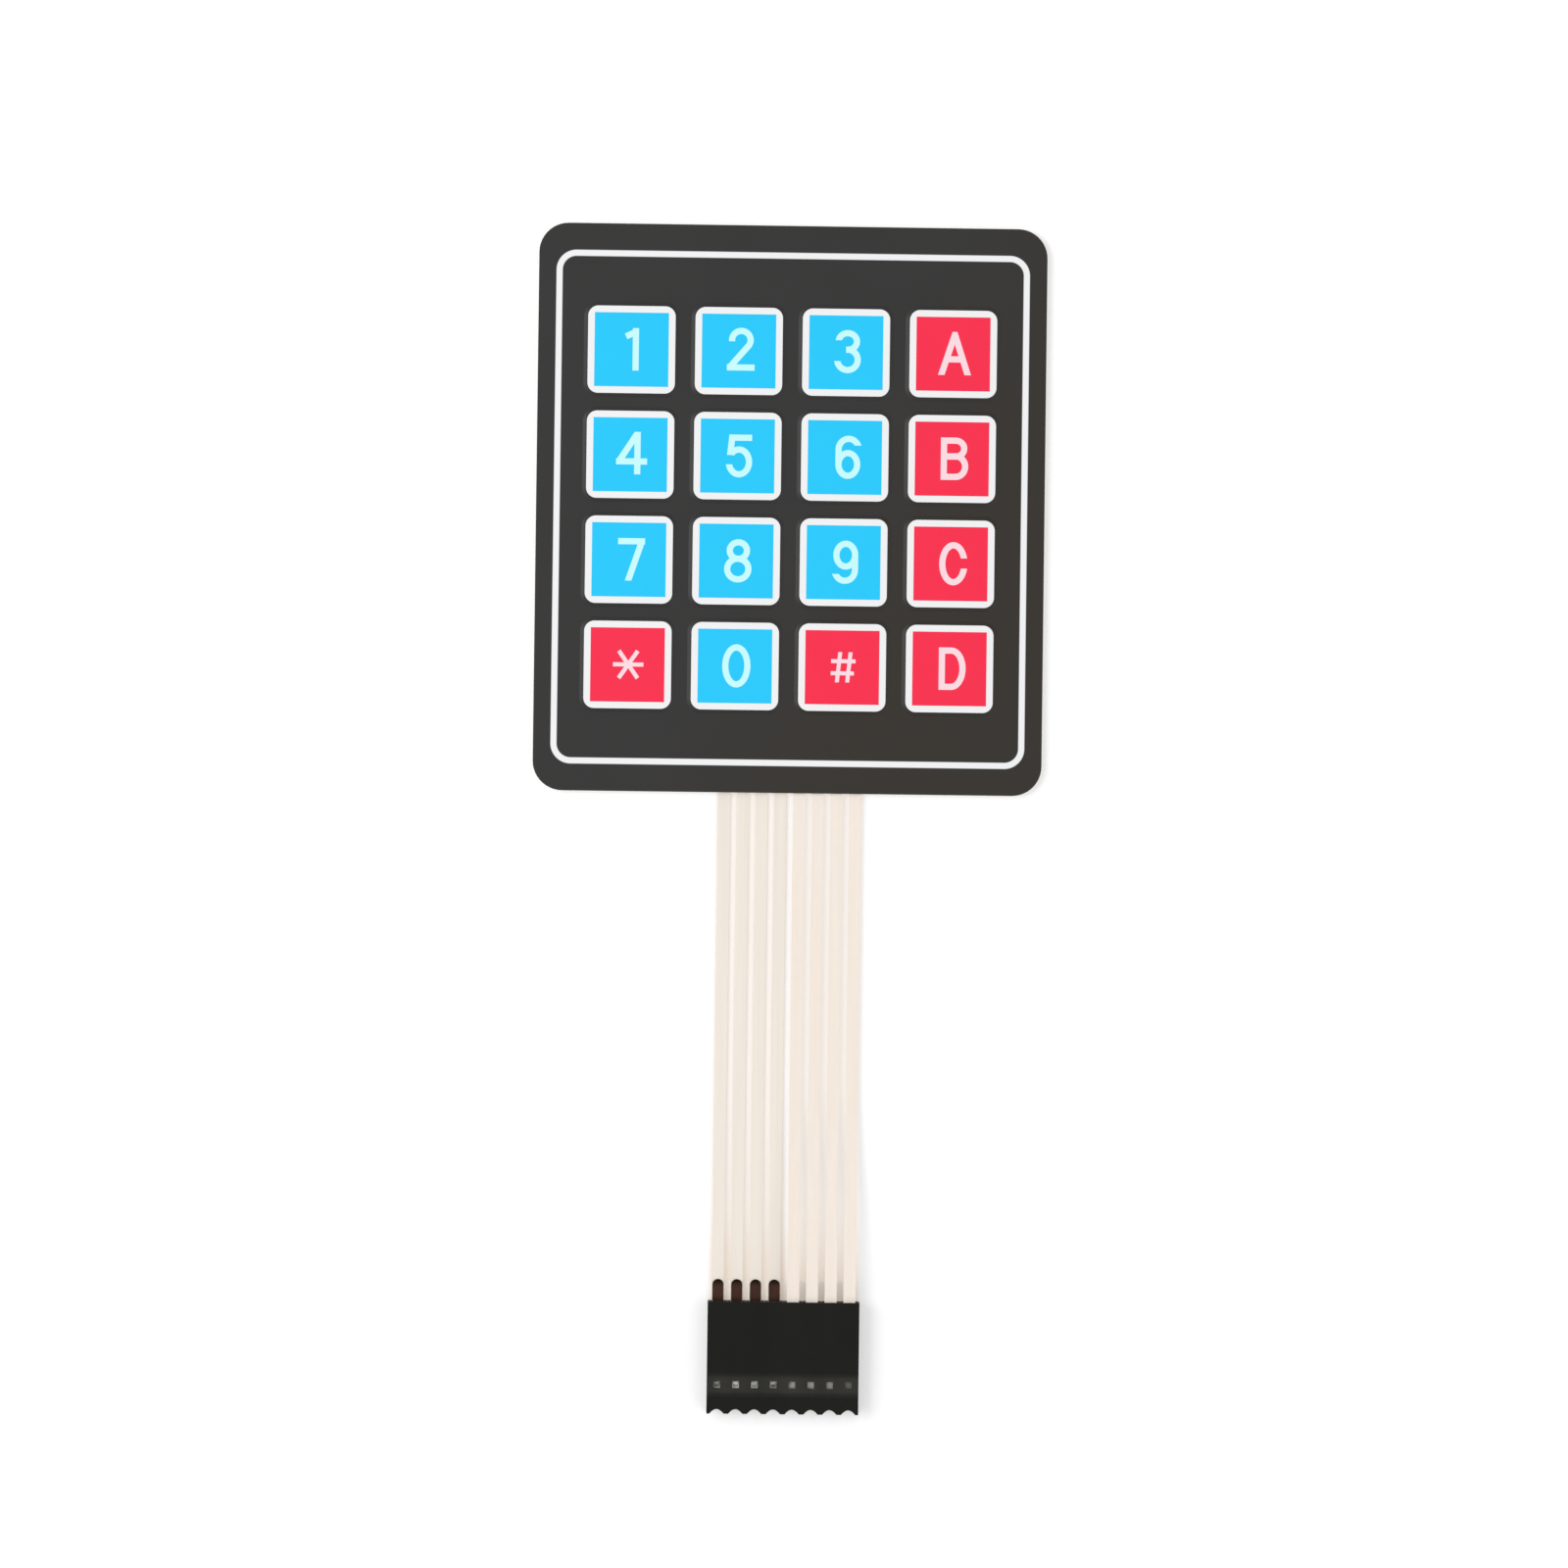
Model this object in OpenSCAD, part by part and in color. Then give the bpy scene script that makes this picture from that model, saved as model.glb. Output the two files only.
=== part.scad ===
// Flat membrane keypad: sixteen printed keys in a four by four grid, a laminate of
// films and adhesives, a split flat tail and an eight-way crimp connector.
// It lies face up: +Z is the pressed side, +Y the top of the keypad, and the origin is
// the middle of the rear face.

/* [Sheet] */
// Width of the die-cut laminate
sheet_w = 69; // [66:0.5:74]
// Height of the die-cut laminate
sheet_h = 77; // [74:0.5:86]
// Corner radius of the die-cut laminate
sheet_r = 4; // [2:0.25:6]

/* [Layers] */
// Thickness of the paper liner over the rear adhesive
liner_t = 0.1; // [0.06:0.01:0.2]
// Thickness of the rear adhesive
rear_adhesive_t = 0.1; // [0.05:0.01:0.2]
// Thickness of each circuit film
film_t = 0.125; // [0.1:0.005:0.2]
// Thickness of the spacer that keeps the two circuits apart
spacer_t = 0.24; // [0.16:0.02:0.4]
// Thickness of the adhesive under the printed overlay
overlay_adhesive_t = 0.05; // [0.03:0.01:0.1]
// Thickness of the printed overlay film
overlay_t = 0.2; // [0.15:0.01:0.3]
// Thickness of the conductive ink
trace_t = 0.03; // [0.02:0.005:0.05]
// Thickness of the colour print on the overlay
print_t = 0.03; // [0.02:0.005:0.05]
// Width of the peel line scored across the liner
peel_line_w = 0.3; // [0.2:0.05:0.6]
// Depth of the peel line
peel_line_depth = 0.05; // [0.03:0.01:0.05]
// Height of the peel line above the middle of the sheet
peel_line_y = 12; // [-20:1:20]

/* [Keys] */
// Distance between key columns
key_pitch_x = 14.55; // [13.8:0.05:15.2]
// Distance between key rows
key_pitch_y = 14.25; // [13.8:0.05:15.2]
// Outer size of the white frame round a key
frame_size = 11.85; // [10.5:0.05:12.2]
// Outer corner radius of the white frame
frame_r = 1.4; // [0.6:0.1:2]
// Width of the white frame
frame_line_w = 0.9; // [0.8:0.05:1.6]
// Flat margin between the white frame and the embossed slope
emboss_margin = 0.1; // [0.05:0.05:0.2]
// Width of the embossed slope
emboss_run = 0.45; // [0.3:0.05:0.6]
// Height of the embossed key
emboss_rise = 0.2; // [0.1:0.02:0.3]
// Room left round the embossing in the adhesive below it
emboss_clearance = 0.1; // [0.05:0.05:0.2]

/* [Border line] */
// Share of the room beside the keys that lies outside the white line
border_share_x = 0.44; // [0.1:0.01:0.9]
// Share of the room above and below the keys that lies outside the white line
border_share_y = 0.37; // [0.1:0.01:0.9]
// Width of the white line
border_line_w = 0.97; // [0.6:0.05:1.1]
// Outer corner radius of the white line
border_r = 2.8; // [1.8:0.1:4]

/* [Switches] */
// Diameter of the contact pads
pad_d = 8; // [6:0.25:9]
// Diameter of the holes in the spacer
switch_hole_d = 10; // [9.25:0.25:11.5]
// Width of the air channels between the holes
vent_w = 0.6; // [0.4:0.1:1]
// Width of the printed traces
trace_w = 0.9; // [0.5:0.05:1.1]
// Bare margin between the traces and the sheet's edge
trace_margin = 1.5; // [1:0.1:2.5]

/* [Tail] */
// Length of the tail from the sheet's edge to the connector
tail_l = 68.8; // [50:0.5:120]
// Offset of the tail and connector to the right of the sheet's middle
tail_x = 0.4; // [-5:0.1:5]
// Gap between the tail's two halves
tail_split = 0.3; // [0.1:0.05:0.5]
// Inset of the tail's outer edge from the last position's edge
tail_inset = 0.16; // [0.05:0.01:0.3]
// Width of the conductors on the tail
conductor_w = 1.6; // [1.2:0.05:1.7]
// Length over which the tail rises to the connector
rise_l = 28; // [15:1:40]
// Gap between the cut fingers at the tail's end
finger_gap = 0.8; // [0.7:0.05:0.9]
// Length of the fingers outside the connector
finger_out = 2.4; // [1.5:0.1:4]
// Length of the fingers inside the connector
finger_in = 4.6; // [4.2:0.1:4.8]

/* [Connector] */
// Distance between positions
pin_pitch = 2.54; // [2.5:0.01:2.6]
// Length of the housing
housing_l = 15.1; // [14.6:0.1:18]
// Height of the housing
housing_h = 2.8; // [2.7:0.05:3.4]
// Width of the cavity for a contact
cavity_w = 2; // [1.9:0.05:2.1]
// Height of the cavity for a contact
cavity_h = 2.2; // [2.15:0.05:2.3]
// Thickness of the outer side walls
side_wall = 0.36; // [0.3:0.02:0.6]
// Thickness of the wall at the mating end
front_wall = 2.7; // [2.6:0.05:2.75]
// Side of the square pin holes
pin_hole = 1; // [0.8:0.05:1.1]
// Radius of the pin funnels at the mating end
funnel_r = 1.7; // [1.6:0.02:1.84]
// Depth of the pin funnels
funnel_depth = 2.5; // [2.2:0.05:2.55]
// Distance from the mating end to the middle of the latch windows
window_y = 3.95; // [3.65:0.05:4.5]
// Width of the latch windows
window_w = 0.9; // [0.85:0.05:1.1]
// Length of the latch windows
window_l = 0.95; // [0.9:0.05:1.3]
// Length of the shallow band round the latch windows
band_l = 2.6; // [1.8:0.1:3]
// Depth of the shallow band
band_depth = 0.1; // [0.05:0.01:0.12]

/* [Contacts] */
// Width of a contact's box
contact_w = 1.6; // [1.5:0.02:1.7]
// Height of a contact's box
contact_h = 1.56; // [1.5:0.01:1.58]
// Length of a contact's box
contact_l = 7; // [6:0.1:7.3]
// Thickness of the contact's metal
stock_t = 0.2; // [0.15:0.01:0.25]
// Width of the crimp strip
strip_w = 1.5; // [1.3:0.05:1.6]
// Length of the crimp strip outside the housing
strip_out = 2.9; // [1.5:0.1:4]
// Gap between a contact and the wall at the mating end
contact_clearance = 0.05; // [0.02:0.01:0.1]
// Length of the sloped side walls behind the box
neck_l = 0.9; // [0.5:0.1:1.2]
// Height of the latch that stands in the window
latch_h = 0.45; // [0.4:0.01:0.48]
// Width of the latch
latch_w = 0.6; // [0.5:0.05:0.65]
// Length of the latch
latch_l = 0.65; // [0.55:0.05:0.7]
// Thickness of the spring leaf inside the box
leaf_t = 0.12; // [0.08:0.01:0.16]
// Width of the spring leaf
leaf_w = 0.8; // [0.5:0.05:0.9]
// Reach of the spring leaf below the box's roof
leaf_reach = 0.4; // [0.3:0.01:0.5]
// Distance of the crimp barbs from the contact's middle
barb_x = 0.5; // [0.45:0.01:0.55]
// Thickness of the crimp barbs
barb_t = 0.12; // [0.1:0.01:0.14]
// Length of the crimp barbs along the strip
barb_l = 0.8; // [0.5:0.05:1]
// Width of the folded end of a barb
barb_fold = 0.3; // [0.2:0.05:0.35]
// Room round a barb where it pierces the film
barb_clearance = 0.03; // [0.02:0.005:0.04]

/* [Hidden] */
$fn = 64;

overlap = 0.05;      // cutters and joined solids run this far past a face
key_count = 4;       // keys in a row, and rows
pin_count = 2 * key_count;
rise_steps = 14;     // straight pieces in the tail's rise

// Heights of the layers, from the rear face up
rear_adhesive_z = liner_t;
lower_film_z = rear_adhesive_z + rear_adhesive_t;
spacer_z = lower_film_z + film_t;
upper_film_z = spacer_z + spacer_t;
overlay_adhesive_z = upper_film_z + film_t;
overlay_z = overlay_adhesive_z + overlay_adhesive_t;
face_z = overlay_z + overlay_t;
key_z = face_z + emboss_rise;

// Key grid
grid_x = (key_count - 1) / 2 * key_pitch_x;
grid_y = (key_count - 1) / 2 * key_pitch_y;
field_size = frame_size - 2 * frame_line_w;
emboss_top = frame_size / 2 + emboss_margin;
emboss_top_r = frame_r + emboss_margin;
emboss_base = emboss_top + emboss_run;
emboss_base_r = emboss_top_r + emboss_run;

// White line, placed in the room between the embossed keys and the sheet's edge
border_w = sheet_w - 2 * border_share_x * (sheet_w / 2 - grid_x - emboss_base - border_line_w);
border_h = sheet_h - 2 * border_share_y * (sheet_h / 2 - grid_y - emboss_base - border_line_w);

// Lanes for the traces beside and below the pads
side_lane = (sheet_w / 2 - trace_margin - grid_x - pad_d / 2) / key_count;
low_lane = (sheet_h / 2 - trace_margin - grid_y - pad_d / 2) / key_count;

// Connector and tail
housing_w = (pin_count - 1) * pin_pitch + cavity_w + 2 * side_wall;
sheet_end_y = -sheet_h / 2;
rear_y = sheet_end_y - tail_l;
mate_y = rear_y - housing_l;
pin_z = housing_h / 2;
tail_w = key_count * pin_pitch - tail_inset - tail_split / 2;
finger_tip_y = rear_y - finger_in;
finger_root_y = rear_y + finger_out;
rise_end_y = rear_y + max(strip_out, finger_out) + finger_gap;
tail_root_y = sheet_end_y + trace_margin;

// Crimps, as distances from the mating end
box_y = front_wall + contact_clearance;
neck_y = box_y + contact_l;
barb_ys = [for (share = [0.3, 0.72]) housing_l - finger_in * share];

function key_x(column) = (column - 1) * key_pitch_x - grid_x;
function key_y(row) = grid_y - (row - 1) * key_pitch_y;
function pin_x(pin) = tail_x + (pin - (pin_count + 1) / 2) * pin_pitch;
function side_lane_x(row) = -sheet_w / 2 + trace_margin + (row - 0.5) * side_lane;
function low_lane_y(lane) = sheet_end_y + trace_margin + (lane - 0.5) * low_lane;
function is_function_key(column, row) = column == key_count || (row == key_count && column != 2);
function ease(share) = share * share * (3 - 2 * share);

// Side profile of the tail's inked face: level, an eased rise, then level in the connector
function tail_face(sheet_z, plug_z) = concat(
    [[tail_root_y, sheet_z]],
    [for (step = [0 : rise_steps]) let (share = step / rise_steps)
        [rise_end_y + (1 - share) * rise_l, sheet_z + (plug_z - sheet_z) * ease(share)]],
    [[finger_tip_y, plug_z]]
);

lower_face = tail_face(spacer_z, pin_z - contact_h / 2 - trace_t);
upper_face = tail_face(upper_film_z, pin_z + contact_h / 2 + trace_t);

module rounded_rect(width, height, radius) {
    square([width - 2 * radius, height], center = true);
    square([width, height - 2 * radius], center = true);
    for (x = [-1, 1], y = [-1, 1])
        translate([x * (width / 2 - radius), y * (height / 2 - radius)])
            circle(radius);
}

module at_keys() {
    for (column = [1 : key_count], row = [1 : key_count])
        translate([key_x(column), key_y(row)])
            children();
}

module layer(z, thickness) {
    translate([0, 0, z])
        linear_extrude(thickness)
            children();
}

module sheet_outline() {
    rounded_rect(sheet_w, sheet_h, sheet_r);
}

// Extrudes a side profile, drawn as (Y, Z), across the width from x
module across(x, width) {
    translate([x, 0, 0])
        rotate([90, 0, 90])
            linear_extrude(width)
                children();
}

// Strip of the tail between its inked face and the same line moved by rise
module tail_strip(face, rise, x, width) {
    last = len(face) - 1;
    across(x, width)
        polygon(concat(face, [for (i = [last : -1 : 0]) face[i] + [0, rise]]));
}

// Embossed key: a rounded square that narrows upwards, standing on z = 0
module key_pillow() {
    sunk = overlap / emboss_rise * emboss_run;
    low = emboss_base + sunk;
    straight = 2 * (emboss_top - emboss_top_r);
    profile = [[-low, -overlap], [low, -overlap], [emboss_top, emboss_rise], [-emboss_top, emboss_rise]];
    rotate([90, 0, 0])
        linear_extrude(straight, center = true)
            polygon(profile);
    rotate([90, 0, 90])
        linear_extrude(straight, center = true)
            polygon(profile);
    for (x = [-1, 1], y = [-1, 1])
        translate([x * straight / 2, y * straight / 2, -overlap])
            cylinder(h = emboss_rise + overlap, r1 = emboss_base_r + sunk, r2 = emboss_top_r);
}

module graphic_overlay() {
    color([0.24, 0.235, 0.225])
        difference() {
            union() {
                layer(overlay_z, overlay_t) sheet_outline();
                translate([0, 0, face_z]) at_keys() key_pillow();
            }
            translate([0, 0, overlay_z]) at_keys() key_pillow();
        }
}

module border_line_print() {
    color("white")
        layer(face_z, print_t)
            difference() {
                rounded_rect(border_w, border_h, border_r);
                rounded_rect(border_w - 2 * border_line_w, border_h - 2 * border_line_w, border_r - border_line_w);
            }
}

module key_frame_print() {
    color("white")
        layer(key_z, print_t)
            at_keys()
                difference() {
                    rounded_rect(frame_size, frame_size, frame_r);
                    square(field_size, center = true);
                }
}

module colour_fields(function_keys) {
    for (column = [1 : key_count], row = [1 : key_count])
        if (is_function_key(column, row) == function_keys)
            translate([key_x(column), key_y(row), key_z])
                linear_extrude(print_t)
                    square(field_size, center = true);
}

module number_key_print() {
    color([0.16, 0.78, 1]) colour_fields(false);
}

module function_key_print() {
    color([0.98, 0.2, 0.3]) colour_fields(true);
}

module overlay_adhesive() {
    window = 2 * (emboss_base + emboss_clearance);
    color([0.85, 0.85, 0.8])
        layer(overlay_adhesive_z, overlay_adhesive_t)
            difference() {
                sheet_outline();
                at_keys() rounded_rect(window, window, emboss_base_r + emboss_clearance);
            }
}

// Straight printed line along X or Y, squared off past both ends
module trace_line(from, to, width) {
    low = [min(from.x, to.x), min(from.y, to.y)] - [width, width] / 2;
    high = [max(from.x, to.x), max(from.y, to.y)] + [width, width] / 2;
    translate(low) square(high - low);
}

// Lead from a lane down to the sheet's edge, as wide as the conductor on the tail
module tail_lead(pin, lane_y) {
    translate([pin_x(pin) - conductor_w / 2, sheet_end_y])
        square([conductor_w, lane_y + trace_w / 2 - sheet_end_y]);
}

// Leads of a row: along its pads, down the side and along the bottom to its pin
module row_leads(row) {
    lane_x = side_lane_x(row);
    lane_y = low_lane_y(row);
    trace_line([lane_x, key_y(row)], [key_x(key_count), key_y(row)], trace_w);
    trace_line([lane_x, key_y(row)], [lane_x, lane_y], trace_w);
    trace_line([lane_x, lane_y], [pin_x(row), lane_y], trace_w);
    tail_lead(row, lane_y);
}

// Leads of a column: down its pads and along the bottom to its pin
module column_leads(column) {
    pin = key_count + column;
    lane_y = low_lane_y(column == 1 || column == key_count ? 1 : 2);
    trace_line([key_x(column), key_y(1)], [key_x(column), lane_y], trace_w);
    trace_line([key_x(column), lane_y], [pin_x(pin), lane_y], trace_w);
    tail_lead(pin, lane_y);
}

module row_trace(row) {
    color([0.75, 0.74, 0.7])
        difference() {
            union() {
                layer(spacer_z, trace_t) {
                    row_leads(row);
                    for (column = [1 : key_count])
                        translate([key_x(column), key_y(row)]) circle(d = pad_d);
                }
                tail_strip(lower_face, trace_t, pin_x(row) - conductor_w / 2, conductor_w);
            }
            barb_slots(row);
        }
}

module column_trace(column) {
    pin = key_count + column;
    color([0.75, 0.74, 0.7])
        difference() {
            union() {
                layer(upper_film_z - trace_t, trace_t) {
                    column_leads(column);
                    for (row = [1 : key_count])
                        translate([key_x(column), key_y(row)]) circle(d = pad_d);
                }
                tail_strip(upper_face, -trace_t, pin_x(pin) - conductor_w / 2, conductor_w);
            }
            barb_slots(pin);
        }
}

module circuit_spacer() {
    color([0.9, 0.9, 0.86])
        difference() {
            layer(spacer_z, spacer_t)
                difference() {
                    sheet_outline();
                    at_keys() circle(d = switch_hole_d);
                    for (column = [1 : key_count])
                        trace_line([key_x(column), key_y(1)], [key_x(column), key_y(key_count)], vent_w);
                }
            layer(spacer_z - overlap, trace_t + overlap)
                for (row = [1 : key_count]) row_leads(row);
            layer(upper_film_z - trace_t, trace_t + overlap)
                for (column = [1 : key_count]) column_leads(column);
        }
}

// Gaps that part the tail's end into one finger for each pin
module finger_gaps(first_pin) {
    height = housing_h + 2 * overlap;
    for (gap = [0 : key_count])
        translate([pin_x(first_pin + gap) - pin_pitch / 2, finger_root_y, -overlap]) {
            translate([-finger_gap / 2, finger_tip_y - finger_root_y - overlap, 0])
                cube([finger_gap, finger_root_y - finger_tip_y + overlap, height]);
            cylinder(h = height, d = finger_gap);
        }
}

// Slots where a contact's barbs pierce its finger
module barb_slots(pin) {
    size = [barb_t, barb_l] + 2 * barb_clearance * [1, 1];
    for (side = [-1, 1], y = barb_ys)
        translate([pin_x(pin) + side * barb_x - size.x / 2, mate_y + y - size.y / 2, -overlap])
            cube([size.x, size.y, housing_h + 2 * overlap]);
}

module circuit_film(z, face, rise, side) {
    first_pin = side < 0 ? 1 : key_count + 1;
    color([0.93, 0.92, 0.88])
        difference() {
            union() {
                layer(z, film_t) sheet_outline();
                tail_strip(face, rise, tail_x + side * (tail_split + tail_w) / 2 - tail_w / 2, tail_w);
            }
            finger_gaps(first_pin);
            for (pin = [first_pin : first_pin + key_count - 1]) barb_slots(pin);
        }
}

module upper_circuit_film() {
    circuit_film(upper_film_z, upper_face, film_t, 1);
}

module lower_circuit_film() {
    circuit_film(lower_film_z, lower_face, -film_t, -1);
}

module rear_adhesive() {
    color([0.86, 0.85, 0.8])
        layer(rear_adhesive_z, rear_adhesive_t) sheet_outline();
}

module release_liner() {
    color([0.93, 0.89, 0.78])
        difference() {
            layer(0, liner_t) sheet_outline();
            translate([-sheet_w / 2 - overlap, peel_line_y - peel_line_w / 2, -overlap])
                cube([sheet_w + 2 * overlap, peel_line_w, peel_line_depth + overlap]);
        }
}

// Room for one contact, from its pin's axis: funnel, pin hole, cavity and latch windows
module contact_room() {
    funnel_end_r = pin_hole / 2;
    slope = (funnel_r - funnel_end_r) / funnel_depth;
    translate([0, -overlap, 0])
        rotate([-90, 0, 0])
            cylinder(h = funnel_depth + overlap, r1 = funnel_r + slope * overlap, r2 = funnel_end_r);
    translate([-pin_hole / 2, 0, -pin_hole / 2])
        cube([pin_hole, front_wall + overlap, pin_hole]);
    translate([-cavity_w / 2, front_wall, -cavity_h / 2])
        cube([cavity_w, housing_l - front_wall + overlap, cavity_h]);
    translate([-window_w / 2, window_y - window_l / 2, -housing_h / 2 - overlap])
        cube([window_w, window_l, housing_h + 2 * overlap]);
}

module connector_housing() {
    color([0.13, 0.13, 0.12])
        difference() {
            translate([tail_x - housing_w / 2, mate_y, 0])
                cube([housing_w, housing_l, housing_h]);
            for (pin = [1 : pin_count])
                translate([pin_x(pin), mate_y, pin_z]) contact_room();
            for (z = [band_depth / 2 - overlap / 2, housing_h - band_depth / 2 + overlap / 2])
                translate([tail_x, mate_y + window_y, z])
                    cube([housing_w + 2 * overlap, band_l, band_depth + overlap], center = true);
        }
}

// Sprung leaf that presses on the pin, folded back under the box's roof
module spring_leaf() {
    roof = contact_h / 2 - stock_t;
    ends = [box_y, box_y + contact_l / 2, box_y + contact_l * 0.8];
    depths = [0, leaf_reach, leaf_t];
    line = [for (i = [0 : 2]) [ends[i], roof - depths[i] + leaf_t]];
    across(-leaf_w / 2, leaf_w)
        polygon(concat(line, [for (i = [2 : -1 : 0]) line[i] - [0, leaf_t]]));
}

// Barb that pierces the film from the strip and folds back under it
module crimp_barb() {
    strip_z = -contact_h / 2;
    under_z = strip_z - trace_t - film_t;
    translate([barb_x - barb_t / 2, -barb_l / 2, under_z - barb_t])
        cube([barb_t, barb_l, strip_z - under_z + barb_t + stock_t / 2]);
    translate([barb_x + barb_t / 2 - barb_fold, -barb_l / 2, under_z - barb_t])
        cube([barb_fold, barb_l, barb_t]);
}

// One contact about its pin's axis, with its mating end towards -Y and its strip low
module contact_metal() {
    roof = contact_h / 2;
    strip_end_y = housing_l + strip_out - strip_w / 2;
    difference() {
        translate([-contact_w / 2, box_y, -roof])
            cube([contact_w, contact_l, contact_h]);
        translate([-contact_w / 2 + stock_t, box_y - overlap, stock_t - roof])
            cube([contact_w - 2 * stock_t, contact_l + 2 * overlap, contact_h - 2 * stock_t]);
    }
    translate([0, 0, -roof])
        linear_extrude(stock_t) {
            translate([-strip_w / 2, neck_y - stock_t]) square([strip_w, strip_end_y - neck_y + stock_t]);
            translate([0, strip_end_y]) circle(d = strip_w);
        }
    for (x = [-contact_w / 2, contact_w / 2 - stock_t])
        across(x, stock_t)
            polygon([[neck_y - overlap, -roof], [neck_y + neck_l, -roof],
                [neck_y + neck_l, stock_t - roof], [neck_y - overlap, 0]]);
    across(-latch_w / 2, latch_w)
        polygon([[window_y - latch_l / 2, roof - overlap], [window_y + latch_l / 2, roof - overlap],
            [window_y + latch_l / 2, roof + latch_h], [window_y - latch_l / 2, roof]]);
    spring_leaf();
    for (side = [0, 1], y = barb_ys)
        mirror([side, 0, 0])
            translate([0, y, 0]) crimp_barb();
}

// The row contacts lie on their film, the column contacts are turned over under theirs
module contact(pin) {
    color([0.62, 0.6, 0.57])
        translate([pin_x(pin), mate_y, pin_z])
            rotate([0, pin > key_count ? 180 : 0, 0]) contact_metal();
}

graphic_overlay();
border_line_print();
key_frame_print();
number_key_print();
function_key_print();
overlay_adhesive();
upper_circuit_film();
column_trace(1);  // column_trace_1
column_trace(2);  // column_trace_2
column_trace(3);  // column_trace_3
column_trace(4);  // column_trace_4
circuit_spacer();
row_trace(1);  // row_trace_1
row_trace(2);  // row_trace_2
row_trace(3);  // row_trace_3
row_trace(4);  // row_trace_4
lower_circuit_film();
rear_adhesive();
release_liner();
connector_housing();
contact(1);  // contact_1
contact(2);  // contact_2
contact(3);  // contact_3
contact(4);  // contact_4
contact(5);  // contact_5
contact(6);  // contact_6
contact(7);  // contact_7
contact(8);  // contact_8
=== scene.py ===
import math

import bmesh
import bpy
from mathutils import Matrix, Vector
from mathutils.geometry import delaunay_2d_cdt


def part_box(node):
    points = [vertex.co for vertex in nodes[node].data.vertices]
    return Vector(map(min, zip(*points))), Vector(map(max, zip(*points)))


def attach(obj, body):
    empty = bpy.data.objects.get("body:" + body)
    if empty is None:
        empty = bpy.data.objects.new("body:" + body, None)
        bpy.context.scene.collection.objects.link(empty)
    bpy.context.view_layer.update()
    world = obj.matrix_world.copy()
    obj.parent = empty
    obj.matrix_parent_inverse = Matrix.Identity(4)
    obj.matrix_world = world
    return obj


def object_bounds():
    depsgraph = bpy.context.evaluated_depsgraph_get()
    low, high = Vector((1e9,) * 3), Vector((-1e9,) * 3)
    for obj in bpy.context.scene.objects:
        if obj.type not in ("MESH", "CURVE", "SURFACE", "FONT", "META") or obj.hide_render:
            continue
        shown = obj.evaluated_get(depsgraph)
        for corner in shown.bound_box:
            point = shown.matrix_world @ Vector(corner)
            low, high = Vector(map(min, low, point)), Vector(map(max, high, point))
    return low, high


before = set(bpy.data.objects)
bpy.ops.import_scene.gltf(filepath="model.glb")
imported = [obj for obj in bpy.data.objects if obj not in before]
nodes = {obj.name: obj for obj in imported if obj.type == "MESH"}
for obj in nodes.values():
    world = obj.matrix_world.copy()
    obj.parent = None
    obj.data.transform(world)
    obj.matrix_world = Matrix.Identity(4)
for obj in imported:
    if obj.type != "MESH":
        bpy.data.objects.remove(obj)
cadBox = [list(corner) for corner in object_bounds()]
mm = 0.001
print("frame loaded,", len(nodes), "nodes")


# a shader value that can stand in a Python sum
class Value:
    def __init__(self, shader, socket):
        self.shader = shader
        self.socket = socket

    def joined(self, operation, first, second):
        return self.shader.add("Math", {"operation": operation}, {0: first, 1: second})

    def __add__(self, other):
        return self.joined("ADD", self, other)

    def __sub__(self, other):
        return self.joined("SUBTRACT", self, other)

    def __rsub__(self, other):
        return self.joined("SUBTRACT", other, self)

    def __mul__(self, other):
        return self.joined("MULTIPLY", self, other)

    __radd__ = __add__
    __rmul__ = __mul__


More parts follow.
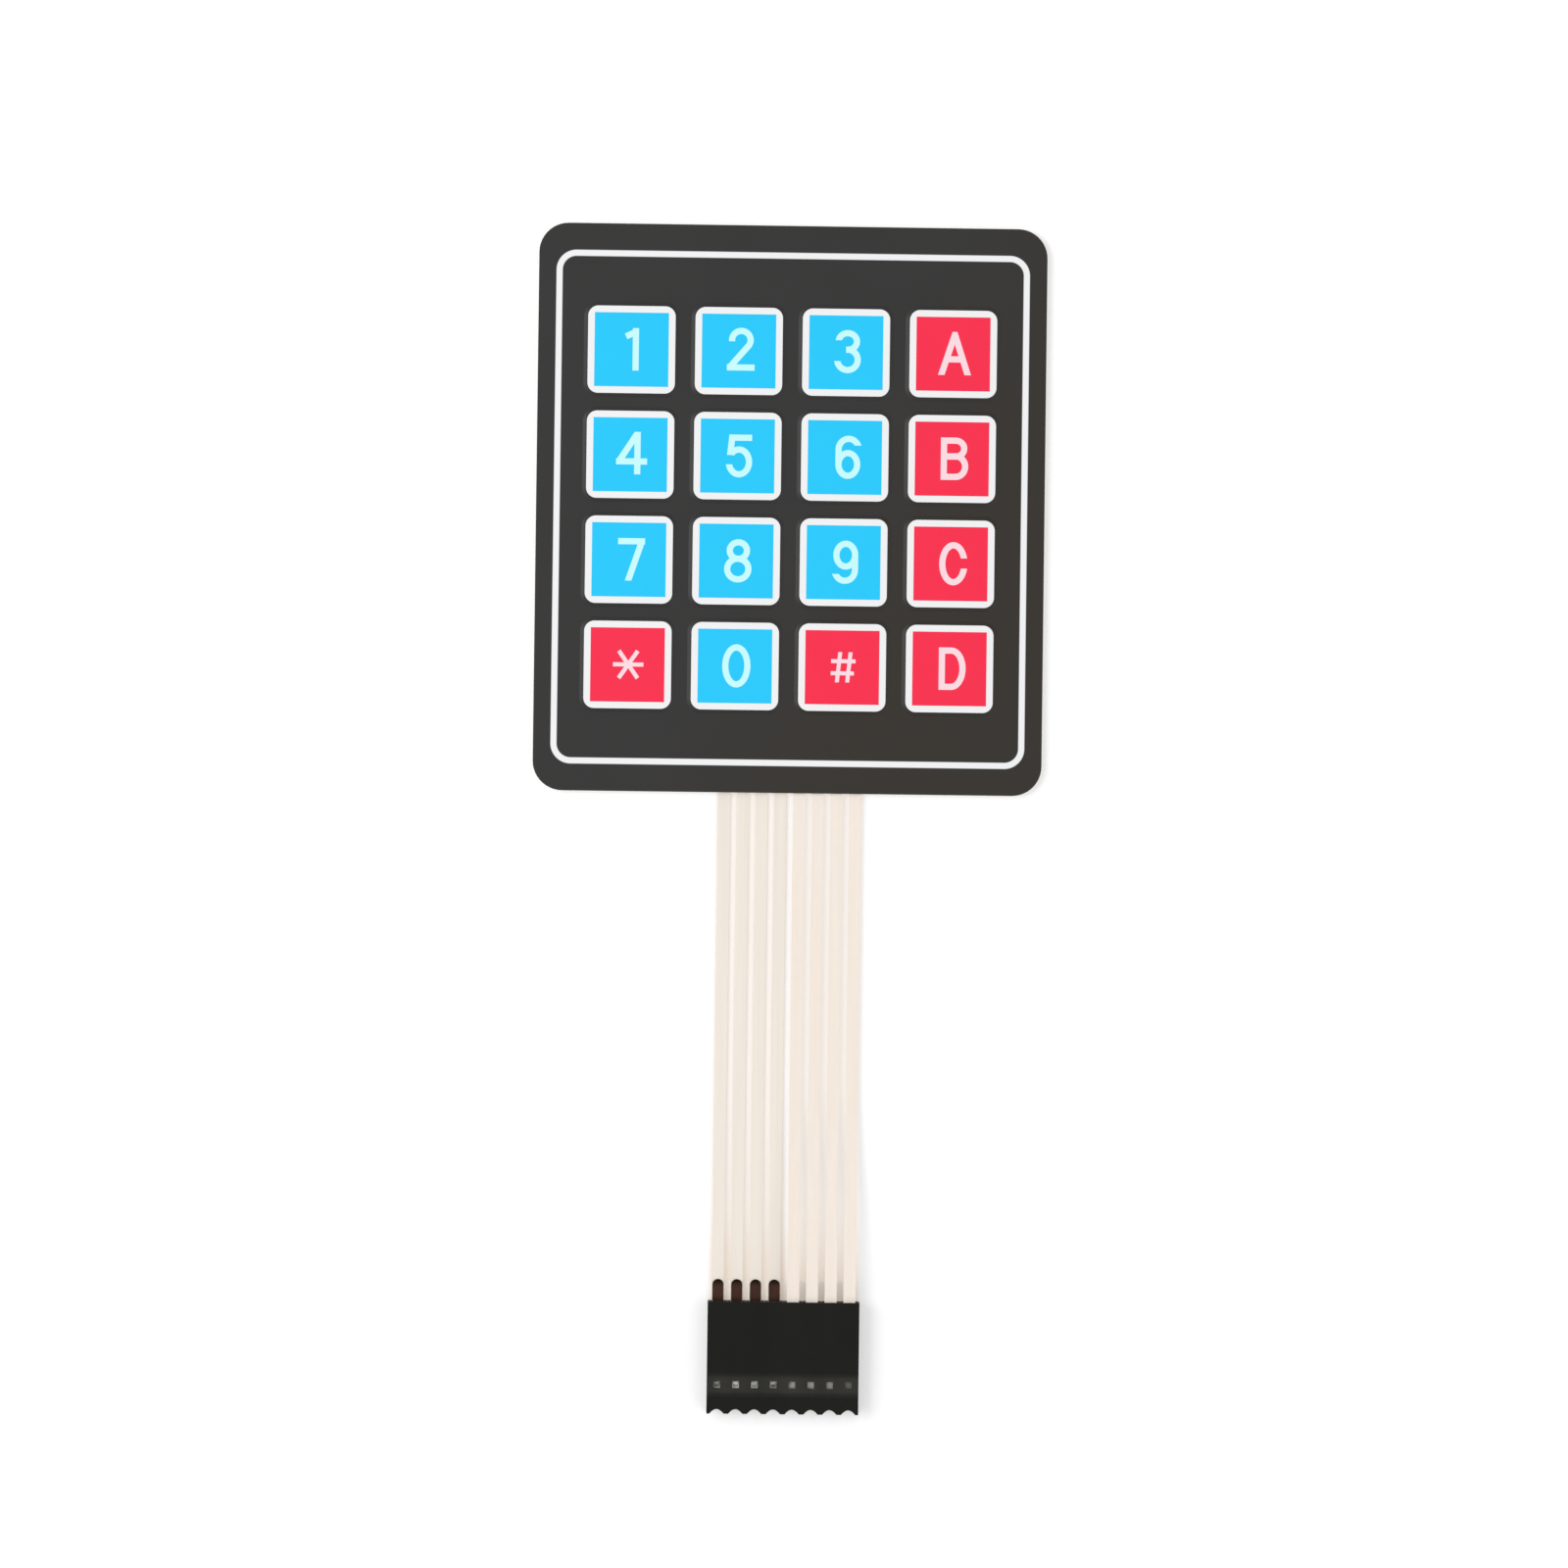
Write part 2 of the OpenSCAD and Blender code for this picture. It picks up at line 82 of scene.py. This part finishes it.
# the nodes of a material or of the world, around its main node
class Shader:
    def __init__(self, owner, mainNode="Principled BSDF", fixed=None):
        owner.use_nodes = True
        self.owner = owner
        self.tree = owner.node_tree
        self.main = self.tree.nodes[mainNode]
        for socket, value in (fixed or {}).items():
            self.drive(socket, value)

    def add(self, kind, settings=None, sockets=None, output=0):
        made = self.tree.nodes.new("ShaderNode" + kind)
        for key, value in (settings or {}).items():
            setattr(made, key, value)
        for key, value in (sockets or {}).items():
            self.feed(made.inputs[key], value)
        return Value(self, made.outputs[output])

    def feed(self, socket, value):
        if isinstance(value, Value):
            self.tree.links.new(value.socket, socket)
        else:
            socket.default_value = value

    def drive(self, socket, value):
        self.feed(self.main.inputs[socket], value)

    def place(self):
        return self.add("TexCoord", output="Object")

    def across(self):  # the object's x, to the right
        return self.add("SeparateXYZ", None, {0: self.place()}, output=0)

    def along(self):  # the object's y, from the connector up to the keypad's top
        return self.add("SeparateXYZ", None, {0: self.place()}, output=1)

    def vector(self, operation, first, second=(0, 0, 0), output=0):
        return self.add("VectorMath", {"operation": operation}, {0: first, 1: second}, output)

    def noise(self, size, detail=3.0, stretch=(1, 1, 1)):  # size in metres; a stretch under 1 draws it out
        place = self.add("Mapping", None, {"Vector": self.place(), "Scale": stretch})
        return self.add("TexNoise", None, {"Vector": place, "Scale": 1 / size, "Detail": detail})

    def step(self, value, low, high):  # 0 below low, 1 above high, smooth between
        return self.add("MapRange", {"interpolation_type": "SMOOTHSTEP"},
                        {"Value": value, "From Min": low, "From Max": high})

    def blend(self, share, first, second):  # colours
        return self.add("Mix", {"data_type": "RGBA"}, {0: share, 6: first, 7: second}, output=2)

    def tint(self, share, colour):  # lays a colour over what feeds the base colour
        under = Value(self, self.main.inputs["Base Color"].links[0].from_socket)
        self.drive("Base Color", self.blend(share, under, colour))

    def bump(self, height, depth, strength):  # depth in metres
        self.drive("Normal", self.add("Bump", None, {
            "Height": height, "Distance": depth, "Strength": strength}))

    def seenRays(self):  # 1 where a surface is seen, mirrored or seen through something clear
        rays = ("Is Camera Ray", "Is Glossy Ray", "Is Transmission Ray")
        camera, mirror, clear = [self.add("LightPath", output=ray) for ray in rays]
        return camera + mirror + clear

    def wear(self, *names):
        for name in names:
            nodes[name].data.materials.clear()
            nodes[name].data.materials.append(self.owner)
        return self


def finish(name, fixed=None):
    return Shader(bpy.data.materials.new(name), fixed=fixed)


def rgb(red, green, blue):
    return (red, green, blue, 1.0)


def shade(colour, factor):
    return rgb(*[channel * factor for channel in colour[:3]])


# fine velvet grain of the overlay, shared by the bare film and every printed field
velvet = {"grain": 0.16 * mm, "grainDetail": 2.0, "depth": 0.012 * mm, "strength": 0.5,
          "patch": 11 * mm, "roughness": 0.5, "roughnessSpread": 0.12, "specular": 0.33}


def overlayInk(name, ink):
    made = finish(name, {"Specular IOR Level": velvet["specular"]})
    thin = shade(ink["colour"], 1 - ink["spread"])
    dense = shade(ink["colour"], 1 + ink["spread"])
    made.drive("Base Color", made.blend(made.noise(ink["patch"]), thin, dense))
    sheen = made.noise(velvet["patch"]) - 0.5
    made.drive("Roughness", velvet["roughness"] + velvet["roughnessSpread"] * sheen)
    made.bump(made.noise(velvet["grain"], velvet["grainDetail"]), velvet["depth"], velvet["strength"])
    return made


overlayBlack = {"colour": rgb(0.0140, 0.0130, 0.0126), "spread": 0.3, "patch": 16 * mm,
                "warmShade": rgb(0.0142, 0.0108, 0.0066), "warmTo": 26 * mm, "warmLean": 0.6}
whiteInk = {"colour": rgb(0.85, 0.853, 0.865), "spread": 0.012, "patch": 8 * mm}
blueInk = {"colour": rgb(0.006, 0.56, 0.93), "spread": 0.03, "patch": 6 * mm}
redInk = {"colour": rgb(0.90, 0.016, 0.062), "spread": 0.03, "patch": 6 * mm}

# painted light and shade: the film is painted a little warmer and darker to the right and downwards
overlay = overlayInk("overlayFilm", overlayBlack).wear("graphic_overlay")
towardsWarmShade = overlay.across() - overlayBlack["warmLean"] * overlay.along()
overlay.tint(overlay.step(towardsWarmShade, 0, overlayBlack["warmTo"]), overlayBlack["warmShade"])

# the border line's ink thins out towards its two edges
borderLine = {"width": 0.97 * mm, "radius": 2.8 * mm, "thinEdge": 0.15 * mm}
line = overlayInk("borderPrint", whiteInk).wear("border_line_print")
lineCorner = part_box("border_line_print")[1]
# where the corners begin to turn; the height plays no part
roundFrom = (lineCorner.x - borderLine["radius"], lineCorner.y - borderLine["radius"], 1)
beyond = line.vector("SUBTRACT", line.vector("ABSOLUTE", line.place()), roundFrom)
fromEdge = borderLine["radius"] - line.vector("LENGTH", line.vector("MAXIMUM", beyond), output=1)
inked = (line.step(fromEdge, 0, borderLine["thinEdge"])
         - line.step(fromEdge, borderLine["width"] - borderLine["thinEdge"], borderLine["width"]))
line.tint(1 - inked, overlayBlack["colour"])

overlayInk("framePrint", whiteInk).wear("key_frame_print")
overlayInk("bluePrint", blueInk).wear("number_key_print")
overlayInk("redPrint", redInk).wear("function_key_print")
print("overlay film and print done")


# clear polyester of the two circuits, with the faint warm haze of its coating
clearFilm = {"colour": rgb(1.0, 0.80, 0.62), "roughness": 0.28, "alpha": 0.12,
             "haze": 0.05, "hazePatch": 4 * mm, "hazeStretch": (1, 0.15, 1),
             "wave": 3 * mm, "waveDetail": 2.0, "waveStretch": (1, 0.2, 1),
             "waveDepth": 0.04 * mm, "waveStrength": 0.4}
film = finish("clearFilm", {"Base Color": clearFilm["colour"], "Roughness": clearFilm["roughness"]})
haze = film.noise(clearFilm["hazePatch"], stretch=clearFilm["hazeStretch"]) - 0.5
film.drive("Alpha", clearFilm["alpha"] + clearFilm["haze"] * haze)
waves = film.noise(clearFilm["wave"], clearFilm["waveDetail"], clearFilm["waveStretch"])
film.bump(waves, clearFilm["waveDepth"], clearFilm["waveStrength"])
film.wear("upper_circuit_film", "lower_circuit_film")

# dried silver ink under a cream varnish, dragged lengthwise in printing;
# the columns' ink is seen through their film, and is painted paler and brighter than the rows' ink as
# painted light, to make up for the light and tint the film takes
silverInk = {"roughness": 0.46, "roughnessSpread": 0.2, "filmGap": 0.004 * mm,
             "streak": 0.5 * mm, "streakDetail": 4.0, "streakStretch": (1, 0.02, 1),
             "grain": 0.2 * mm, "grainDepth": 0.01 * mm, "grainStrength": 0.4,
             "row": {"colour": rgb(0.80, 0.72, 0.635), "pale": rgb(0.87, 0.81, 0.735)},
             "column": {"colour": rgb(0.85, 0.815, 0.775), "pale": rgb(0.925, 0.915, 0.895)}}


def conductorInk(name, colours):
    ink = finish(name)
    streaks = ink.noise(silverInk["streak"], silverInk["streakDetail"], silverInk["streakStretch"])
    ink.drive("Base Color", ink.blend(streaks, colours["colour"], colours["pale"]))
    ink.drive("Roughness", silverInk["roughness"] + silverInk["roughnessSpread"] * (streaks - 0.5))
    ink.bump(ink.noise(silverInk["grain"]), silverInk["grainDepth"], silverInk["grainStrength"])
    return ink


for side in ("row", "column"):
    traces = [f"{side}_trace_{count}" for count in range(1, 5)]
    conductorInk(side + "Ink", silverInk[side]).wear(*traces)
    for name in traces:  # a hair of air between the ink and its film, so that a ray meets them in turn
        gap = nodes[name].modifiers.new("filmGap", "DISPLACE")
        gap.mid_level = 0
        gap.strength = -silverInk["filmGap"]

# tacky layers, which show only as pale lines in the laminate's edge
tack = {"colour": rgb(0.60, 0.58, 0.52), "pale": rgb(0.72, 0.70, 0.64), "patch": 3 * mm,
        "roughness": 0.3,
        "lump": 0.6 * mm, "lumpDetail": 2.0, "lumpDepth": 0.03 * mm, "lumpStrength": 0.5}
tacky = finish("tackyLayer", {"Roughness": tack["roughness"]})
tacky.drive("Base Color", tacky.blend(tacky.noise(tack["patch"]), tack["colour"], tack["pale"]))
tacky.bump(tacky.noise(tack["lump"], tack["lumpDetail"]), tack["lumpDepth"], tack["lumpStrength"])
tacky.wear("overlay_adhesive", "circuit_spacer", "rear_adhesive")

# coated release paper on the back: a faint fibre cloud under a smooth gloss
linerPaper = {"colour": rgb(0.74, 0.68, 0.54), "pale": rgb(0.82, 0.77, 0.64), "specular": 0.4,
              "roughness": 0.42, "roughnessSpread": 0.15, "cloud": 12 * mm, "cloudShare": 0.6,
              "fibre": 1.2 * mm, "fibreDetail": 6.0, "fibreStretch": (1, 0.35, 1),
              "fibreDepth": 0.02 * mm, "fibreStrength": 0.35}
liner = finish("linerPaper", {"Specular IOR Level": linerPaper["specular"]})
fibres = liner.noise(linerPaper["fibre"], linerPaper["fibreDetail"], linerPaper["fibreStretch"])
clouds = liner.noise(linerPaper["cloud"])
paleShare = linerPaper["cloudShare"] * clouds + (1 - linerPaper["cloudShare"]) * fibres
liner.drive("Base Color", liner.blend(paleShare, linerPaper["colour"], linerPaper["pale"]))
liner.drive("Roughness", linerPaper["roughness"] + linerPaper["roughnessSpread"] * (fibres - 0.5))
liner.bump(fibres, linerPaper["fibreDepth"], linerPaper["fibreStrength"])
liner.wear("release_liner")
print("films, inks and liner done")


# moulded nylon with a fine spark texture, softened edges and a lighter band across the windows
nylon = {"colour": rgb(0.0052, 0.0054, 0.0040), "pale": rgb(0.0092, 0.0092, 0.0074), "specular": 0.1,
         "roughness": 0.5, "roughnessSpread": 0.2,
         "flow": 4 * mm, "flowDetail": 4.0, "flowStretch": (1, 0.4, 1),
         "spark": 0.12 * mm, "sparkDetail": 2.0, "sparkDepth": 0.012 * mm, "sparkStrength": 0.5,
         "edgeRadius": 0.09 * mm, "edgeSegments": 2, "edgeAngle": 40,
         "lighter": rgb(0.036, 0.035, 0.030), "bandLeast": 0.2,
         "bandFrom": 2.1 * mm, "bandTo": 5.7 * mm, "bandFade": 1.1 * mm}
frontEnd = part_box("connector_housing")[0].y
housing = finish("housingNylon", {"Specular IOR Level": nylon["specular"]})
flow = housing.noise(nylon["flow"], nylon["flowDetail"], nylon["flowStretch"])
fromFront = housing.along() - frontEnd
lighterBand = (housing.step(fromFront, nylon["bandFrom"], nylon["bandFrom"] + nylon["bandFade"])
              - housing.step(fromFront, nylon["bandTo"] - nylon["bandFade"], nylon["bandTo"]))
housing.drive("Base Color", housing.blend(flow, nylon["colour"], nylon["pale"]))
housing.tint(lighterBand * (nylon["bandLeast"] + flow), nylon["lighter"])
housing.drive("Roughness", nylon["roughness"] + nylon["roughnessSpread"] * (flow - 0.5))
sparks = housing.noise(nylon["spark"], nylon["sparkDetail"])
housing.bump(sparks, nylon["sparkDepth"], nylon["sparkStrength"])
housing.wear("connector_housing")
softEdges = nodes["connector_housing"].modifiers.new("softEdges", "BEVEL")
softEdges.width = nylon["edgeRadius"]
softEdges.segments = nylon["edgeSegments"]
softEdges.limit_method = "ANGLE"
softEdges.angle_limit = math.radians(nylon["edgeAngle"])

# stamped bronze, tinned where it meets the pin, left bare and brown at the crimp and darkest at its end
bronze = {"bare": rgb(0.040, 0.020, 0.015), "rubbedBare": 1.6, "fade": 0.6 * mm,
          "dark": rgb(0.010, 0.005, 0.003), "darkLength": 1.1 * mm,
          "litLatchTin": rgb(0.72, 0.71, 0.67), "shadedTin": rgb(0.33, 0.325, 0.305),
          "tinDark": 0.45, "tinBright": 1.1,
          "tinPatch": 2.1 * mm, "tinDetail": 1.0, "tinEdge": (0.35, 0.65),
          "rub": 0.6 * mm, "rubDetail": 4.0, "rubStretch": (1, 0.3, 1),
          "roughness": 0.36, "dullTin": 0.28, "roughnessSpread": 0.25}
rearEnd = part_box("connector_housing")[1].y
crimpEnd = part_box("contact_1")[1].y


def crimpMetal(name, tin):
    metal = finish(name, {"Metallic": 1.0})
    lighter = metal.noise(bronze["rub"], bronze["rubDetail"], bronze["rubStretch"])
    uneven = metal.step(metal.noise(bronze["tinPatch"], bronze["tinDetail"]), *bronze["tinEdge"])
    bareShare = metal.step(metal.along(), rearEnd - bronze["fade"], rearEnd)
    darkShare = metal.step(metal.along(), crimpEnd - bronze["darkLength"], crimpEnd)
    bareColour = metal.blend(lighter, bronze["bare"], shade(bronze["bare"], bronze["rubbedBare"]))
    crimpColour = metal.blend(darkShare, bareColour, bronze["dark"])
    tinColour = metal.blend(uneven, shade(tin, bronze["tinDark"]), shade(tin, bronze["tinBright"]))
    metal.drive("Base Color", metal.blend(bareShare, tinColour, crimpColour))
    metal.drive("Roughness", bronze["roughness"] + bronze["dullTin"] * (1 - bareShare)
                + bronze["roughnessSpread"] * (lighter - 0.5))
    return metal


# painted light and shade: one tin, painted lighter on contacts 1 to 4 as painted light on latches in the
# windows' shade, and darker on contacts 5 to 8 as painted shade in their windows
crimpMetal("latchUpBronzeLit", bronze["litLatchTin"]).wear(*[f"contact_{pin}" for pin in range(1, 5)])
crimpMetal("turnedBronzeShaded", bronze["shadedTin"]).wear(*[f"contact_{pin}" for pin in range(5, 9)])
print("housing and contacts done")


# legends: pen strokes in millimetres about the middle of a sign, y up; pens are half the stroke's width
legend = {"cap": 2.88, "overshoot": 0.05, "pen": 0.42, "finePen": {"star": 0.28, "hash": 0.27},
          "levelCut": 0.9, "arcStep": 9, "ringLap": 5, "weld": 1e-5, "height": 0.014 * mm,
          "shift": 0.3, "fineShift": 0.1, "rise": 0.03,
          "nudge": {"2": (0, 0.2), "3": (0, 0.1), "4": (-0.05, 0.17), "6": (0.12, 0)},
          "onBlue": rgb(0.55, 0.93, 0.95), "onRed": rgb(0.94, 0.68, 0.74)}
cap = legend["cap"]                # half height of a flat-ended character
flat = cap - legend["pen"]         # half height of its centre lines
bow = flat + legend["overshoot"]   # the same for a round-ended one


def arc(x, y, rx, ry, start, end):
    count = max(2, round(abs(end - start) / legend["arcStep"]))
    angles = [math.radians(start + (end - start) * i / count) for i in range(count + 1)]
    return [(x + rx * math.cos(a), y + ry * math.sin(a)) for a in angles]


def ring(x, y, rx, ry):  # two halves that overlap a little
    lap = legend["ringLap"]
    return [arc(x, y, rx, ry, -lap, 180 + lap), arc(x, y, rx, ry, 180 - lap, 360 + lap)]


def turned(strokes):
    return [[(-x, -y) for x, y in stroke] for stroke in strokes]


six = [arc(0.1, bow - 1.45, 1.37, 1.45, 22, 180) + [(-1.27, 1.54 - bow)],
       *ring(0, 1.54 - bow, 1.27, 1.54)]
strokes = {
    "1": [[(0.27, cap), (0.27, -cap)], [(0.35, 2.4), (-1.05, 1.75)]],
    "2": [arc(0.02, bow - 1.25, 1.26, 1.25, 188, -35) + [(-1.55, -flat)],
          [(-1.9, -flat), (1.86, -flat)]],
    "3": [arc(-0.08, bow - 1.13, 1.24, 1.13, 172, -90) + [(-0.3, bow - 2.26)],
          arc(-0.1, 1.4 - bow, 1.39, 1.4, 90, -172)],
    "A": [[(-1.9, -cap), (-0.12, flat + 0.1), (-0.08, flat + 0.1), (1.7, -cap)],
          [(-0.1, 1.3), (-0.1, 2.4)], [(-1.2, -0.75), (1.0, -0.75)]],
    "4": [[(0.73, cap), (0.73, -cap)], [(0.66, 2.62), (-1.62, -0.9)], [(-2.15, -1.13), (2.05, -1.13)]],
    "5": [[(1.65, flat), (-1.05, flat), (-1.3, 0.1)], arc(-0.1, 1.68 - bow, 1.37, 1.68, 140, -168)],
    "6": six,
    "B": [[(-1.4, cap), (-1.4, -cap)],
          [(-1.4, flat), *arc(0.2, flat - 1.08, 1.15, 1.08, 90, -90), (-1.4, flat - 2.16)],
          [(-1.4, flat - 2.16), *arc(0.2, 1.4 - flat, 1.3, 1.4, 90, -90), (-1.4, -flat)]],
    "7": [[(-1.78, flat), (1.87, flat)], [(1.36, 2.2), (-0.37, -cap)]],
    "8": [*ring(-0.02, bow - 1.12, 1.17, 1.12), *ring(-0.07, 1.4 - bow, 1.44, 1.4)],
    "9": turned(six),
    "C": [arc(0.06, 0, 1.5, bow, 17, 345)],
    "star": [[(-2.06, 0), (2.06, 0)], [(-1.28, -1.85), (1.28, 1.85)], [(-1.28, 1.85), (1.28, -1.85)]],
    "0": ring(-0.1, 0, 1.5, bow),
    "hash": [[(-0.8, -2.05), (-0.38, 2.05)], [(0.6, -2.05), (1.02, 2.05)],
             [(-1.6, 0.82), (1.7, 0.82)], [(-1.65, -0.82), (1.5, -0.82)]],
    "D": [[(-1.33, cap), (-1.33, -cap)],
          [(-1.33, flat), *arc(-0.06, 0, 1.54, flat, 90, -90), (-1.33, -flat)]],
}


# outline of a stroke with mitred corners, its steep ends cut level and others square
def penBand(stroke, half):
    points = [Vector(p) for p in stroke]
    heads = [(b - a).normalized() for a, b in zip(points, points[1:])]
    left, right = [], []
    for i, point in enumerate(points):
        before = heads[max(i - 1, 0)]
        after = heads[min(i, len(heads) - 1)]
        side = Vector((-before.y - after.y, before.x + after.x))
        side *= half * 2 / side.length_squared
        if i in (0, len(heads)) and abs(after.y) > legend["levelCut"]:
            side = Vector((-half / after.y, 0))
        left.append(point + side)
        right.append(point - side)
    return right + left[::-1]


def inkPlate(name, outlines, low, high):  # thin solid over the union of flat outlines
    points, faces = [], []
    for outline in outlines:
        faces.append(list(range(len(points), len(points) + len(outline))))
        points.extend(outline)
    corners, _, triangles, _, _, sources = delaunay_2d_cdt(points, [], faces, 0, legend["weld"])
    inside = [triangle for triangle, source in zip(triangles, sources) if source]
    edges = {(t[i - 1], t[i]) for t in inside for i in range(3)}
    mesh = bmesh.new()
    top = [mesh.verts.new((p.x * mm, p.y * mm, high)) for p in corners]
    foot = [mesh.verts.new((p.x * mm, p.y * mm, low)) for p in corners]
    for a, b, c in inside:
        mesh.faces.new((top[a], top[b], top[c]))
        mesh.faces.new((foot[c], foot[b], foot[a]))
    for a, b in sorted(edges):
        if (b, a) not in edges:
            mesh.faces.new((top[b], top[a], foot[a], foot[b]))
    bmesh.ops.delete(mesh, geom=[v for v in mesh.verts if not v.link_faces], context="VERTS")
    bmesh.ops.recalc_face_normals(mesh, faces=mesh.faces)
    data = bpy.data.meshes.new(name)
    mesh.to_mesh(data)
    mesh.free()
    plate = bpy.data.objects.new(name, data)
    bpy.context.collection.objects.link(plate)
    return plate


keyLow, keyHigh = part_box("key_frame_print")
keySize = 11.85 * mm      # outer size of a key's white frame
keyRows = [["1", "2", "3", "A"], ["4", "5", "6", "B"], ["7", "8", "9", "C"], ["star", "0", "hash", "D"]]
redSigns = ["A", "B", "C", "D", "star", "hash"]
pitchX = (keyHigh.x - keyLow.x - keySize) / (len(keyRows[0]) - 1)
pitchY = (keyHigh.y - keyLow.y - keySize) / (len(keyRows) - 1)

# thin white ink, tinted by the key's colour under it
legendOnBlue = overlayInk("legendOnBlue", {**whiteInk, "colour": legend["onBlue"]}).owner
legendOnRed = overlayInk("legendOnRed", {**whiteInk, "colour": legend["onRed"]}).owner
for row, signs in enumerate(keyRows):
    for column, sign in enumerate(signs):
        half = legend["finePen"].get(sign, legend["pen"])
        shift = legend["fineShift"] if sign in legend["finePen"] else legend["shift"]
        middle = Vector(((keyLow.x + keySize / 2 + column * pitchX) / mm + shift,
                         (keyHigh.y - keySize / 2 - row * pitchY) / mm + legend["rise"]))
        middle += Vector(legend["nudge"].get(sign, (0, 0)))
        outlines = [[middle + point for point in penBand(stroke, half)] for stroke in strokes[sign]]
        plate = inkPlate("legend_" + sign, outlines, keyHigh.z, keyHigh.z + legend["height"])
        plate.data.materials.append(legendOnRed if sign in redSigns else legendOnBlue)
        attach(plate, "root")
print("legends done")


# pale floor, there only where its top is seen or mirrored: it takes the shadow, and the room's light
# reaches the underside of the object through it; far off it is as white as the room
floorLook = {"colour": rgb(0.72, 0.72, 0.72), "roughness": 0.9, "size": 3.0,
             "lift": rgb(0.34, 0.34, 0.34),
             "farLift": rgb(1, 1, 1), "farFrom": 0.2, "farTo": 0.7,
             "shadedWarmLift": rgb(0.28, 0.232, 0.18),
             "warmFull": 2.5 * mm, "warmTo": 14 * mm, "warmSide": 1 * mm}
ground = finish("floor", {"Base Color": floorLook["colour"], "Roughness": floorLook["roughness"],
                          "Specular IOR Level": 0.0, "Emission Strength": 1.0})
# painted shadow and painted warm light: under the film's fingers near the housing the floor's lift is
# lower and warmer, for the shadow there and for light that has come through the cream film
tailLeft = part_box("contact_1")[0].x
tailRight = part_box("contact_8")[1].x
underTail = (ground.step(ground.across(), tailLeft - floorLook["warmSide"], tailLeft)
             - ground.step(ground.across(), tailRight, tailRight + floorLook["warmSide"]))
fromHousing = ground.along() - rearEnd
nearHousing = (ground.step(fromHousing, -floorLook["warmSide"], 0)
               - ground.step(fromHousing, floorLook["warmFull"], floorLook["warmTo"]))
nearShadedLift = ground.blend(underTail * nearHousing, floorLook["lift"], floorLook["shadedWarmLift"])
distance = ground.vector("LENGTH", ground.place(), output=1)
far = ground.step(distance, floorLook["farFrom"], floorLook["farTo"])
ground.drive("Emission Color", ground.blend(far, nearShadedLift, floorLook["farLift"]))
shown = ground.seenRays() * (1 - ground.add("NewGeometry", output="Backfacing"))
paleTop = Value(ground, ground.main.outputs[0])
surface = ground.add("MixShader", None, {0: shown, 1: ground.add("BsdfTransparent"), 2: paleTop})
ground.feed(ground.tree.nodes["Material Output"].inputs["Surface"], surface)
bpy.ops.mesh.primitive_plane_add(size=floorLook["size"])
floor = bpy.context.object
floor.name = "floor"
floor.data.materials.append(ground.owner)

# soft white room, plain to the eye and a little dimmer as a light
room = {"colour": rgb(1, 1, 1), "ambient": 0.62, "seen": 1.0}
world = bpy.data.worlds.new("room")
bpy.context.scene.world = world
walls = Shader(world, "Background", {"Color": room["colour"]})
walls.drive("Strength", walls.add("MapRange", None, {
    "Value": walls.seenRays(), "To Min": room["ambient"], "To Max": room["seen"]}))

# two soft lamps, aimed at about the middle of the object
lamps = {
    "windowLeft": {"place": (-0.68, 0.10, 0.75), "size": 0.6, "power": 4.9},
    "fillRight": {"place": (0.60, -0.25, 0.75), "size": 0.7, "power": 1.4},
}
lampTarget = Vector((0, cadBox[0][1] / 3, 0))
for name, lamp in lamps.items():
    light = bpy.data.lights.new(name, "AREA")
    light.size = lamp["size"]
    light.energy = lamp["power"]
    stand = bpy.data.objects.new(name, light)
    stand.location = lamp["place"]
    stand.rotation_euler = (lampTarget - stand.location).to_track_quat("-Z", "Y").to_euler()
    bpy.context.collection.objects.link(stand)
print("floor and light done")

# camera above the object, square on but for a slight lean and roll
shot = {"aim": (-0.39 * mm, -37.255 * mm, 0), "distance": 0.7,
        "leanX": 0.703, "leanY": -0.936, "roll": 0.726,
        "pixelsPerMm": 7.5173, "imagePixels": 1600, "sensor": 36.0, "clipNear": 0.01, "clipFar": 20}
turn = Matrix.Identity(4)
for angle, axis in (("leanY", "Y"), ("leanX", "X"), ("roll", "Z")):
    turn = turn @ Matrix.Rotation(math.radians(shot[angle]), 4, axis)
lens = bpy.data.cameras.new("camera")
lens.sensor_width = shot["sensor"]
lens.lens = shot["pixelsPerMm"] * shot["distance"] / mm / shot["imagePixels"] * shot["sensor"]
lens.clip_start = shot["clipNear"]
lens.clip_end = shot["clipFar"]
camera = bpy.data.objects.new("camera", lens)
eye = Vector(shot["aim"]) + turn @ Vector((0, 0, shot["distance"]))
camera.matrix_world = Matrix.Translation(eye) @ turn
bpy.context.collection.objects.link(camera)
bpy.context.scene.camera = camera
bpy.context.scene.view_settings.view_transform = "Standard"
print("camera done")
